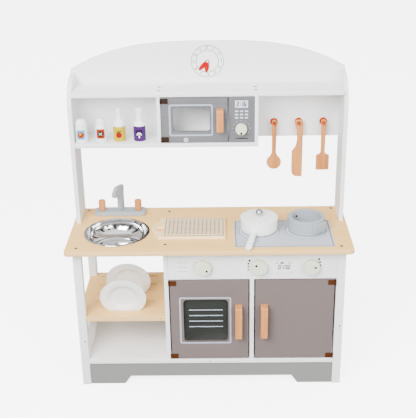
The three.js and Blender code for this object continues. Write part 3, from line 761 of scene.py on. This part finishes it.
# %% Utensils
def utensil(node, outline, groove=None):
    low, high = box(node)
    hook_x = centre({"spoon": "hook_left", "kitchen_knife": "hook_middle", "spatula": "hook_right"}[node])[0]
    shift = np.array((hook_x, centre("hook_left")[2]))
    hole = ellipse(0, 0, 5, 5, steps=32)
    shape = slab([outline + shift, hole + shift], low[1], high[1], 1.8, "Y", 5)
    shapes = [(shape, beech)]
    if groove:
        x0, x1, z = groove[0] + shift[0], groove[1] + shift[0], groove[2] + shift[1]
        line = bars([(x0, x1, z - 0.7, z + 0.7)], low[1] - 0.05, low[1] + 0.1, "Y")
        shapes.append((line, inks["grey"]))
    stand_in(node, shapes, node)


spoon_side = np.vstack((
    arc((0, 3), (7.2, 7.2), 90, 0, 10), [(6.6, -40)], curve((6, -84), (6, -98), (17.4, -107.1)),
    arc((0, -119.5), (21.4, 21.4), 35.5, -90, 22)))
spoon = np.vstack((spoon_side, mirrored(spoon_side[:-1])[:-1]))
knife = np.vstack((
    curve((12, 4), (11, 10), (4, 10), steps=6), curve((-4, 10), (-11, 10), (-13, 2), (-9, -12)),
    curve((-9, -12), (-5, -26), (-2.6, -44), (-6.5, -63))[1:], curve((-6.5, -63), (-9, -74), (-19.5, -86))[1:],
    curve((-19.5, -145), (-18, -164), (-5, -165)), [(12, -165)]))
spatula_side = np.vstack((
    arc((0, 3), (7.2, 7.2), 90, 0, 10), [(6.6, -40)], curve((6, -84), (6, -95), (13.3, -97)),
    curve((13.3, -97), (19.3, -97.5), (19.3, -104))[1:], eased([(19.3, -104), (19.3, -145), (0, -145)], 2.5)[1:]))
spatula = np.vstack((spatula_side, mirrored(spatula_side[:-1])[:-1]))
utensil("spoon", spoon)
utensil("kitchen_knife", knife, (-6.6, 12, -66))
utensil("spatula", spatula)
print("utensils made")

# %% [markdown]
# ## Sink and tap
# The bowl is spun from thin steel: a thin rolled rim, steep sides and a flat bottom. The tap is
# cut from board and painted, with two beech pegs for its handles.

# %% Sink bowl
depth = sink_high[2] - sink_low[2]
bowl, foot, wall = sink_rim - 5.3, 44.0, 1.2
low_z = sink_low[2]
outer = arc((foot, 42), (bowl - foot, 42), -90, 0, 14)
inner = arc((foot, 42), (bowl - foot - wall, 42 - wall), 0, -90, 14)
top = depth
profile = np.vstack(([[0, 0]], outer, [[bowl, top - 1.2], [sink_rim - 0.4, top - 1.2], [sink_rim, top - 0.7],
                     [sink_rim - 0.5, top], [bowl + 0.4, top], [bowl - wall, top - 1.4]], inner, [[0, wall]]))
sink_shape = profile_turned(profile, (sink[0], sink[1], low_z), around=128)
drain_profile = eased([(0, wall + 0.2), (8, wall + 0.2), (9.5, wall + 1.4), (13, wall + 1.2), (13.6, wall)], 0.5, 3)
drain = profile_turned(drain_profile, (sink[0], sink[1], low_z), around=48)
stand_in("sink_bowl", [(sink_shape, steel), (drain, steel)], "sink_bowl")

# %% Tap
base_low, base_high = box("tap_base")
cut = 6.0
x0, x1, y0, y1 = base_low[0], base_high[0], base_low[1], base_high[1]
chamfered = [(x0 + cut, y0), (x1 - cut, y0), (x1, y0 + cut), (x1, y1 - cut),
             (x1 - cut, y1), (x0 + cut, y1), (x0, y1 - cut), (x0, y0 + cut)]
tap_base = slab([eased(chamfered, 1.0, 4, closed=True)], base_low[2], base_high[2], 1.3, "Z")
stand_in("tap_base", [(tap_base, tap_paint)], "cabinet")

spout_low = box("tap_spout")[0][2]
spout_pin = np.array(next(j["pos_m"] for j in frame["joints"] if j["child"] == "tap_spout")) / MM
spout_outline = [(10, 0), (10, 60), (11.5, 66), (11, 79), (-20, 79), (-32, 63), (-34, 53),
                 (-32.5, 49), (-20, 49), (-20, 45.5), (-14.5, 45.5), (-10, 40.5), (-10, 0)]
spout_loop = eased(np.array(spout_outline) + (spout_pin[1], spout_low), 1.6, 5, closed=True)
spout = slab([spout_loop], spout_pin[0] - 6, spout_pin[0] + 6, 1.4, "X")
spout = turned_about(spout, spout_pin, "Z", -33)
stand_in("tap_spout", [(spout, tap_paint)], "tap_spout")

for node in ("tap_peg_left", "tap_peg_right"):
    low, high = box(node)
    radius, height = (high[0] - low[0]) / 2, high[2] - low[2]
    profile = eased([(0, 0), (radius, 0), (radius, height), (0, height)], 2.6, 7)
    peg = profile_turned(profile, (*centre(node)[:2], low[2]), around=48)
    stand_in(node, [(peg, beech)], node)
print("sink and tap made")

# %% [markdown]
# ## Cutting board
# A birch board whose left end bulges out round a finger hole, with a barred grid printed on it.

# %% Cutting board
cut_low, cut_high = box("cutting_board")
left, nose = cut_low[0] + 20, cut_low[0]
y0, y1, x1 = cut_low[1], cut_high[1], cut_high[0]
outline = np.vstack((
    curve((left, 30), (left - 9, 21), (nose, 8), (nose, -12)),
    curve((nose, -12), (nose, -34), (left - 4, -58), (left + 1, y0))[1:],
    eased([(left + 1, y0), (x1, y0), (x1, y1), (left, y1), (left, 30)], 5, 6)[1:-1]))
finger = np.vstack((curve((-130, -38), (-143, -38), (-151, -31), (-151, -21)),
                    curve((-151, -21), (-151, -11), (-143, -4), (-130, -4))[1:]))
cutting = slab([outline, finger], cut_low[2], cut_high[2], 1.6, "Z")

grid_x = cut_low[0] + 49 + 11.9 * np.arange(13)
uprights = [(x, x + 2.6, -59, 41) for x in grid_x]
dashes = [(x - 3.9, x + 7.1, y, y + 2.7) for x in grid_x for y in np.linspace(-56, 37, 12)]
border = frame_bars(cut_low[0] + 38, cut_high[0] - 5.5, -70, 49.5, 3.4)
shapes = [(cutting, light_birch)]
for strips, lift in ((border + uprights, 0.08), (dashes, 0.12)):
    shapes.append((bars(strips, cut_high[2] - 0.05, cut_high[2] + lift, "Z"), inks["grey"]))
stand_in("cutting_board", shapes, "cutting_board")
print("cutting board made")

# %% [markdown]
# ## Pots
# The saucepan is white, with a lid that has a chrome ball for a knob, and a flat handle that
# leaves the wall low down. The casserole is a thick grey ring of wood with two blocks for ears.

# %% Saucepan
pan_low, lid_low = box("saucepan"), box("saucepan_lid")
pan_x, pan_y = centre("saucepan_lid")[:2]
pan_base = pan_low[0][2]
PAN_RADIUS, PAN_FOOT, PAN_WALL = 52.5, 42.0, 3.0
pan_height = lid_low[0][2] - pan_base - 0.3
outer = arc((PAN_FOOT, 14), (PAN_RADIUS - PAN_FOOT, 14), -90, 0, 12)
inner = arc((PAN_FOOT, 14), (PAN_RADIUS - PAN_FOOT - PAN_WALL, 14 - PAN_WALL), 0, -90, 12)
brim = eased([outer[-1], (PAN_RADIUS, pan_height), (PAN_RADIUS - PAN_WALL, pan_height), inner[0]], 1.2, 4)
profile = np.vstack(([[0, 0]], outer[:-1], brim, inner[1:], [[0, PAN_WALL]]))
pan_body = profile_turned(profile, (pan_x, pan_y, pan_base), around=96)

REACH, HALF, DIP, TURN, ASIDE = 139.8, 9.5, 5.5, 12.5, 5.7
grip = np.vstack(([(7, -PAN_RADIUS + 2), (-7, -PAN_RADIUS + 2)], arc((0, HALF - REACH), (HALF, HALF), 180, 360, 18)))
grip_hole = ellipse(0, HALF - REACH + 1, 2.2, 2.2, steps=20)
ORIGIN = (0, 0, 0)
bar = slab([grip, grip_hole], -4.5, 4.5, 2.2, "Z", 5)
bar = turned_about(bar, (0, -PAN_RADIUS, 0), "X", DIP, (0, 0, 14))
bar = turned_about(bar, ORIGIN, "Z", -TURN, (pan_x - ASIDE, pan_y, pan_base))
stand_in("saucepan", [(pan_body, porcelain), (bar, porcelain)], "saucepan")

# %% Lid with its chrome knob
lid_base = lid_low[0][2]
flange = (lid_low[1][0] - lid_low[0][0]) / 2
lid_profile = eased([(0, 0), (flange, 0), (flange, 2.6), (flange - 4, 3.7), (14, 5.1), (0, 5.3)],
                    [0, 0.8, 1.2, 3, 8, 0], 5)
lid = profile_turned(lid_profile, (pan_x, pan_y, lid_base), around=96)
ball = profile_turned(np.vstack(([[0, 5.0], [5.5, 5.0], [5.0, 6.4]], arc((0, 14.5), (10.8, 10.8), -60, 90, 24))),
                      (pan_x, pan_y, lid_base), around=48)
stand_in("saucepan_lid", [(lid, porcelain), (ball, chrome)], "saucepan_lid")

# %% Casserole
pot_low, pot_high = box("casserole")
pot_x, pot_y = (pot_low[0] + pot_high[0]) / 2, (pot_low[1] + pot_high[1]) / 2
POT_RADIUS, POT_WALL = 52.4, 10.6
pot_height = pot_high[2] - pot_low[2]
inside = POT_RADIUS - POT_WALL
outline = [(0, 0), (POT_RADIUS, 0), (POT_RADIUS, pot_height), (inside, pot_height), (inside, 6), (0, 6)]
pot = profile_turned(eased(outline, [0, 3, 2, 2, 2, 0], 6), (pot_x, pot_y, pot_low[2]), around=96)
shapes = [(pot, tap_paint)]
for angle in (-51, 129):
    ear_line = rectangle(POT_RADIUS - 8, POT_RADIUS + 5.6, -22, 22, 3)
    ear = slab([ear_line], 9, pot_height - 7, 1.8, "Z")
    ear = turned_about(ear, ORIGIN, "Z", angle, (pot_x, pot_y, pot_low[2]))
    shapes.append((ear, tap_paint))
screw = profile_turned([(0, 1.4), (2.4, 1.6), (3, 0)], (pot_x - 25.6, pot_y + 31.6, pot_low[2] + 27), "Y", 20)
shapes.append((screw, dark_bronze))
stand_in("casserole", shapes, "casserole")
print("pots made")

# %% [markdown]
# ## Plates
# Two white plates stand in the rack. Each is turned: a flat rim, a sloping wall and a flat well.
# The plate leans forward on its slot, so the shape is turned about its own centre.

# %% Plates
LEAN, RIM, WELL, DEPTH, WALL = 13.0, 66.5, 46.0, 11.0, 2.4
for node in ("plate_front", "plate_rear"):
    low, high = box(node)
    middle = np.array(((low[0] + high[0]) / 2, 0, 0))
    lean = radians(LEAN)
    middle[2] = high[2] - RIM * cos(lean)
    middle[1] = low[1] + RIM * sin(lean) + WALL * cos(lean)
    base = WELL - 12
    front = [(0, -DEPTH), (base, -DEPTH), (WELL, 0), (RIM, 0), (RIM, WALL)]
    rear = [(WELL - 1.2, WALL), (base - 1, WALL - DEPTH), (0, WALL - DEPTH)]
    profile = eased(front + rear, [0, 4, 6, 1, 1, 6, 4, 0], 6)
    plate = profile_turned(profile, middle, "Y", 96)
    plate = turned_about(plate, middle, "X", LEAN)
    stand_in(node, [(plate, porcelain)], node)
    print(node, "offset", np.round(np.array([plate[0].min(0) - low, plate[0].max(0) - high]), 2).tolist())

# %% [markdown]
# ## Bottles and their labels
# Two shakers and two bottles are turned. A label is a thin patch bent round the cylinder: its
# outline is scaled from its middle in rings, and sideways places become angles.

# %% Bottles
def sticker(outline, axis, radius, lift):
    """(s, z) goes to (x + r sin(s / radius), y - r cos(s / radius), z), on the face and behind it."""
    outline = np.asarray(outline, float)
    closed = np.vstack((outline, outline[:1]))
    travelled = np.concatenate(([0], np.cumsum(np.linalg.norm(np.diff(closed, axis=0), axis=1))))
    even = np.linspace(0, travelled[-1], 96, endpoint=False)
    outline = np.column_stack([np.interp(even, travelled, closed[:, i]) for i in (0, 1)])
    rings = np.concatenate((np.linspace(0, 1, 22), np.linspace(1, 0, 22)))[:, None, None]
    r = np.repeat((radius + lift, radius - 0.3), 22)[:, None]
    middle = outline.mean(0)
    s, z = np.moveaxis(middle + rings * (outline - middle), 2, 0)
    points = np.stack((axis[0] + r * np.sin(s / radius), axis[1] - r * np.cos(s / radius), z), -1)
    return skin(points, True)


def bottle(node, profile, radii, labels):
    low, high = box(node)
    axis, base = (low + high) / 2, low[2]
    shape = profile_turned(eased(profile, radii, 6), (axis[0], axis[1], base), around=72)
    shapes = [(shape, porcelain)]
    radius = profile[1][0]
    for layer, (outline, ink) in enumerate(labels):
        lifted = np.asarray(outline) + (0, base)
        shapes.append((sticker(lifted, axis, radius, 0.1 + 0.07 * layer), inks[ink]))
    stand_in(node, shapes, node)


bottle("shaker_domed",
    [(0, 0), (16.2, 0), (16.2, 44), (14.8, 45), (14.8, 46.2), (16.4, 47), (16.4, 56), (11, 67), (0, 69.5)],
    [0, 2, 1, .4, .4, 1, 9, 9, 0],
    [(ellipse(0, 25.5, 13, 14, 7), "sky"), (ellipse(0, 25, 9.3, 9.3), "orange"),
     (ellipse(-1.5, 27.5, 4, 3, turn=30), "yellow")])
bottle("shaker_capped",
    [(0, 0), (15.6, 0), (15.6, 46), (12.6, 50), (12.6, 64), (9, 69), (0, 69)],
    [0, 2, 4, 1, 3, 3, 0],
    [(ellipse(0, 27.5, 13, 14, 7), "orange"), (ellipse(0, 27.5, 8.2, 8.2), "black"),
     (ellipse(0, 27.5, 5.8, 0.7, 4, 40), "white"), (ellipse(0, 27.5, 5.8, 0.7, 4, -40), "white")])
bottle("sauce_bottle",
    [(0, 0), (17.6, 0), (17.6, 48), (15, 58), (7.4, 66), (6.2, 84), (7.6, 84.6), (7.6, 97.5), (0, 97.5)],
    [0, 2, 6, 6, 6, .5, .5, 1.5, 0],
    [(ellipse(0, 24, 25, 22, 12), "yellow"), (ellipse(0, 22, 8.5, 8, 2.3), "red"),
     (ellipse(-4, 32, 4.5, 1.7, 1.6, -25), "green"), (ellipse(4, 32, 4.5, 1.7, 1.6, 25), "green"),
     (ellipse(0, 34, 1.5, 4, 1.6), "green")])
bottle("vinegar_bottle",
    [(0, 0), (17.4, 0), (17.4, 48), (14.5, 55), (9.4, 59), (8.8, 85), (10.2, 85.6), (10.2, 97.3), (0, 97.3)],
    [0, 2, 5, 3, 4, .5, .5, 1.5, 0],
    [(ellipse(0, 24.5, 25, 22, 12), "lilac"),
     (np.vstack((curve((-9, 36), (0, 38), (9, 36)), curve((9, 36), (10, 22), (0, 8))[1:],
                 curve((0, 8), (-10, 22), (-9, 36))[1:-1])), "violet"),
     (ellipse(-3.6, 25, 5.5, 2.6, 1.6, 55), "white"), (ellipse(3.6, 25, 5.5, 2.6, 1.6, -55), "white"),
     (ellipse(0, 17, 2.2, 5, 1.6), "white")])
print("bottles made")

# %% [markdown]
# ## Clock dial
# The dial is printed straight on the back panel: two thin rings with the twelve hours between.
# The numbers are made from Blender's own font and turned into meshes.

# %% Clock dial
wall_face = panel_low[1]


def number_shape(text, size, x, z, plane):
    """Text becomes a mesh, and its flat points (a, b, c) go to (x + a, plane - c, z + b)."""
    letters = bpy.data.curves.new("hour", "FONT")
    letters.body, letters.size, letters.extrude, letters.offset = text, size, 0.05, 0.22
    letters.align_x, letters.align_y = "CENTER", "CENTER"
    holder = bpy.data.objects.new("hour", letters)
    solid_text = bpy.data.meshes.new_from_object(holder)
    flat = np.zeros(len(solid_text.vertices) * 3)
    solid_text.vertices.foreach_get("co", flat)
    a, b, c = flat.reshape(-1, 3).T
    faces = [list(polygon.vertices) for polygon in solid_text.polygons]
    bpy.data.objects.remove(holder)
    bpy.data.curves.remove(letters)
    return np.column_stack((x + a, plane - c, z + b)), faces


def ring(x, y, radius, width, low, high, axis):
    loops = [ellipse(x, y, r, r, steps=96) for r in (radius, radius - width)]
    return mark(loops, low, high, axis)


dial = [(ring(0, CLOCK_HEIGHT, radius, 1.5, wall_face - 0.08, wall_face + 0.05, "Y"), inks["line"])
        for radius in (46.5, 32.5)]
for hour in range(1, 13):
    turn = radians(30 * hour - 3)
    number = number_shape(str(hour), 10.5, 39.2 * sin(turn), CLOCK_HEIGHT + 39.2 * cos(turn), wall_face)
    dial.append((number, inks["black"]))
piece("clock_dial", dial, "cabinet")
print("dial made")

# %% [markdown]
# ## Displays, buttons and lines
# Figures on a display are made of seven strokes, and each digit switches on some of them.
# Buttons, bars and window frames are strips or outlines.

# %% Figures of seven strokes
STROKES = {"0": "abcdef", "1": "bc", "2": "abged", "3": "abgcd", "6": "afgedc", ":": ""}


def figures(text, x, z, height):
    """Rows for bars: each stroke sits in a cell one unit wide and two high."""
    unit, pen = height / 2, height * 0.2
    cells = {"a": (0, 1, 2, 2), "b": (1, 1, 1, 2), "c": (1, 1, 0, 1), "d": (0, 1, 0, 0),
             "e": (0, 0, 0, 1), "f": (0, 0, 1, 2), "g": (0, 1, 1, 1)}
    rows, start = [], x
    for character in text:
        lines = np.array([cells[stroke] for stroke in STROKES[character]], float).reshape(-1, 4)
        lines = lines * (unit * 0.8, unit * 0.8, unit, unit) + (start, start, z, z)
        rows += (lines + (-pen / 2, pen / 2, -pen / 2, pen / 2)).tolist()
        if character == ":":
            rows += [(start, start + pen, z + height * k, z + height * k + pen) for k in (0.2, 0.65)]
        start += unit * (0.55 if character == ":" else 1.45)
    return rows


print("strokes for 1:02", len(figures("1:02", 0, 0, 10)))

# %% Microwave prints
face = box("microwave_fascia")[0][1]
ink_back, ink_front = 0.05, -0.08


def strips(rows, plane, layer=0):
    return bars(rows, plane + ink_front * (1 + 0.7 * layer), plane + ink_back, "Y")


def patch(outline, plane, layer=0):
    return mark([outline], plane + ink_front * (1 + 0.7 * layer), plane + ink_back, "Y")


buttons = [patch(ellipse(x, z, 4.6, 2.1, 5), face) for x in (80.8, 94.5, 108.3) for z in (794.4, 784.9, 775.5)]
knob_x, _, knob_z = centre("microwave_knob")
ticks = [(knob_x + 24 * cos(a) - 1, knob_x + 24 * cos(a) + 1, knob_z + 22 * sin(a) - 0.6, knob_z + 22 * sin(a) + 0.6)
         for a in np.radians(np.arange(-30, 211, 30))]
controls = [(patch(rectangle(76.5, 112.5, 804.5, 825.5, 1.5), face), inks["pale"]),
            (strips(figures("2:16", 82, 809.5, 11.5), face, 1), inks["black"]),
            (strips([(76, 79.5, 713.6, 716.4), (82, 112.7, 713.6, 716.4)], face), inks["black"]),
            (strips(ticks, face), inks["pale"])]
controls += [(shape, inks["pale"]) for shape in buttons]
piece("microwave_controls", controls, "cabinet")


def window_line(outer, width, corner, plane):
    x0, x1, z0, z1 = outer
    loops = [rectangle(x0, x1, z0, z1, corner, 8),
             rectangle(x0 + width, x1 - width, z0 + width, z1 - width, max(corner - width, 1), 8)]
    return mark(loops, plane - 0.1, plane + 0.05, "Y")


x0, x1, z0, z1 = microwave_window
door_face = micro_low[1]
lines = [(window_line((x0 - 11.5, x1 + 8.7, z0 - 12.5, z1 + 9), 4.6, 8, door_face), inks["silver"]),
         (patch(ellipse(-62, 712.2, 6, 6), door_face), inks["white"]),
         (patch(ellipse(-62, 712.2, 4.6, 4.6), door_face, 1), inks["silver"])]
piece("microwave_door_prints", lines, "microwave_door")
print("microwave printed")

# %% Oven and cooker prints
x0, x1, z0, z1 = oven_window
oven_face = box("oven_door")[0][1]
oven_line = window_line((x0 - 11.6, x1 + 9, z0 - 3.5, z1 + 8.5), 4.5, 6, oven_face)
piece("oven_door_line", [(oven_line, inks["silver"])], "oven_door")
shelf_bars = [(-60.5, 37, z - 1.4, z + 1.4) for z in (246, 227.5, 209, 190.5)]
piece("oven_pane_bars", [(bars(shelf_bars, pane_low[1] - 0.15, pane_low[1] + 0.05, "Y"), inks["silver"])],
      "oven_door")

face = box("control_fascia")[0][1]
DOTS_LEFT = ((113, 410, 2.6), (110, 401, 2.2), (109.3, 391.5, 1.8), (110, 382, 1.4))
DOTS_RIGHT = ((306, 413, 2.6), (309.3, 404, 2.2), (310.8, 394.5, 1.8), (309.3, 385, 1.4))
dots = [(patch(ellipse(x, z, r + 0.8, r + 0.8, steps=24), face), inks["black"])
        for x, z, r in DOTS_LEFT + DOTS_RIGHT]
marks = figures("01:32", 194.5, 384, 11) + [(199, 208.5, 400, 404.5), (221, 230, 401, 402.6), (188, 191, 400, 403)]
marks += [(x, x + 2.8, 372, 374.2) for x in (190, 229)]
left_x, _, left_z = centre("knob_left")
around = np.radians(np.concatenate((np.arange(-50, 71, 20), (150, 170, 190))))[:, None]
spots = np.hstack((left_x + 27 * np.cos(around), left_z + 27 * np.sin(around)))
marks += (spots[:, [0, 0, 1, 1]] + (-1.3, 1.3, -1.3, 1.3)).tolist()
faint = [(x, x + 6.5, z - 0.8, z + 0.8) for x in (-88, -79, -70) for z in (405, 391, 378.5)]
cooker = [(strips(marks, face), inks["black"]), (strips(faint, face), inks["grey"])] + dots
piece("cooker_controls", cooker, "cabinet")
print("oven and cooker printed")

# %% [markdown]
# ## Hob
# The hob is a sheet of silver foil on the worktop with a printed border and two burner rings.

# %% Hob foil
level = top_high[2]
HOB = (71.0, 350.0, -127.0, 51.0)
foil = mark([rectangle(*HOB, 3)], level - 0.05, level + 0.1, "Z")
border = bars(frame_bars(HOB[0] + 4, HOB[1] - 4, HOB[2] + 4, HOB[3] - 4, 1.9), level, level + 0.15, "Z")
shapes = [(foil, inks["foil"]), (border, inks["line"])]
for x, y in ((pan_x, -22.0), (pot_x - 1.5, -18.0)):
    for radius, width, ink in ((58, 1.6, "line"), (56.4, 5, "pale")):
        shapes.append((ring(x, y, radius, width, level - 0.02, level + 0.15, "Z"), inks[ink]))
piece("hob_foil", shapes, "cabinet")
print("hob printed")

# %% [markdown]
# ## Screws
# The boards are screwed together from above and from the front. A screw's head carries a cross.

# %% Screws
def screw_head(x, y, z, axis, radius=4.3):
    """A shallow dish with two crossed strokes."""
    profile = [(0, 0.12), (radius * 0.55, 0.16), (radius, 0.36), (radius + 0.25, 0)]
    dish = profile_turned(profile, (x, y, z), axis, 28)
    pen, reach = 0.35, radius * 0.55
    across, depths = (y, (z + 0.05, z + 0.22)) if axis == "Z" else (z, (y - 0.22, y - 0.05))
    strokes = [(x - a, x + a, across - b, across + b) for a, b in ((reach, pen), (pen, reach))]
    cross = bars(strokes, *depths, axis)
    return [(dish, screw_black), (cross, inks["black"])]


TOP = box("upper_top_board")[1][2]
WORKTOP_SCREWS = ((-367, 137), (-368.5, -124.5), (-122, 122.5), (-122, -104.4), (367, 136), (366, -124))
BOX_SCREWS = ((-136, 102), (-136, 66), (135.3, 99), (135.3, 64))
screws = sum([screw_head(x, y, level, "Z") for x, y in WORKTOP_SCREWS], [])
screws += sum([screw_head(x, y, TOP, "Z") for x, y in BOX_SCREWS], [])
front = box("front_post_left")[0][1]
screws += screw_head(-366, front, 150, "Y", 2.2) + screw_head(373, front, 197, "Y", 2.2)
screws += screw_head(-1.5, front, 80, "Y", 1.6) + screw_head(-141, front, 225.5, "Y", 1.6)
piece("carcass_screws", screws, "cabinet")

for name in HINGED:
    heads = []
    for place in ("upper", "lower"):
        low, high = box(f"{name}_hinge_{place}")
        middle = (low + high) / 2
        leaf_face = high[1] - 1.4
        heads += sum([screw_head(middle[0] + dx, leaf_face, middle[2] + dz, "Y", 1.3)
                      for dx, dz in ((-4, 3.2), (5, 3.2), (0, -3.6))], [])
    piece(name + "_hinge_screws", heads, name + "_door")
print("screws made")

# %% [markdown]
# ## Pieces kept from the model
# Side frames, a divider, the lower back panel, kick board, dish shelf and hinges already have the
# right shape, so they only get their finish.

# %% Finishes for the kept pieces
KEPT = {
    "right_side_frame": white_paint, "lower_back_panel": white_paint, "divider_right": white_paint,
    "upper_side_left": white_paint, "upper_side_right": white_paint, "kick_board": kick_paint,
    "dish_shelf": birch,
}
for name in HINGED:
    for place in ("upper", "lower"):
        KEPT[f"{name}_hinge_{place}"] = dark_bronze if name == "microwave" else bronze
for node, look in KEPT.items():
    materials = frame["nodes"][node].data.materials
    materials.clear()
    materials.append(look)
print(len(KEPT), "kept,", len(made), "made")
